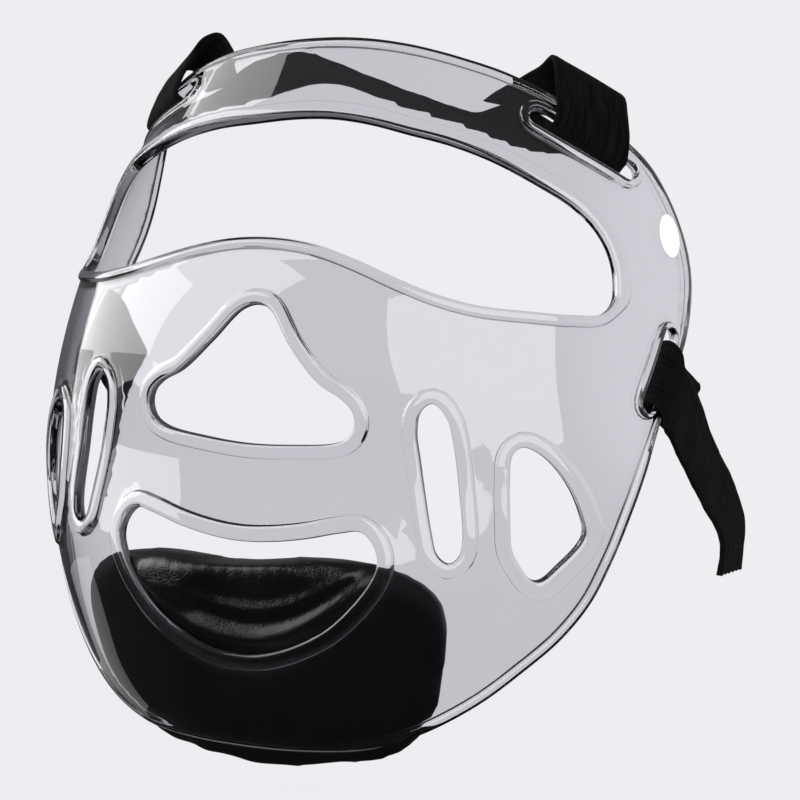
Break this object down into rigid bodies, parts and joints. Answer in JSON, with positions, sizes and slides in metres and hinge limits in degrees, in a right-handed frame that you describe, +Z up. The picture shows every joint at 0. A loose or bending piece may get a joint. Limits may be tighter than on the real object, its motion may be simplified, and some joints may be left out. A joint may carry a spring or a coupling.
{
  "type": "clear face shield for sport headgear",
  "caption": "Clear moulded face guard with openings for eyes, nose, mouth and cheeks, a padded chin and slotted straps, worn on padded headgear.",
  "frame": {"origin": "middle of the inside of the forehead band, where it meets the brow", "axes": "+Z up, the face looks along -Y, +X is the side that carries the label, right in the picture"},
  "size_m": [0.2071, 0.1137, 0.2038],
  "materials": {
    "clear_plastic": "clear, smooth moulded plastic",
    "leather": "satin black",
    "loop_fabric": "matt brushed loop",
    "label": "white sticker"
  },
  "bodies": {
    "root": {"shell": "clear_plastic", "chin_pad": "leather", "strap_upper": "loop_fabric", "strap_lower_right": "loop_fabric", "strap_lower_left": "loop_fabric", "label": "label"}
  },
  "joints": []
}
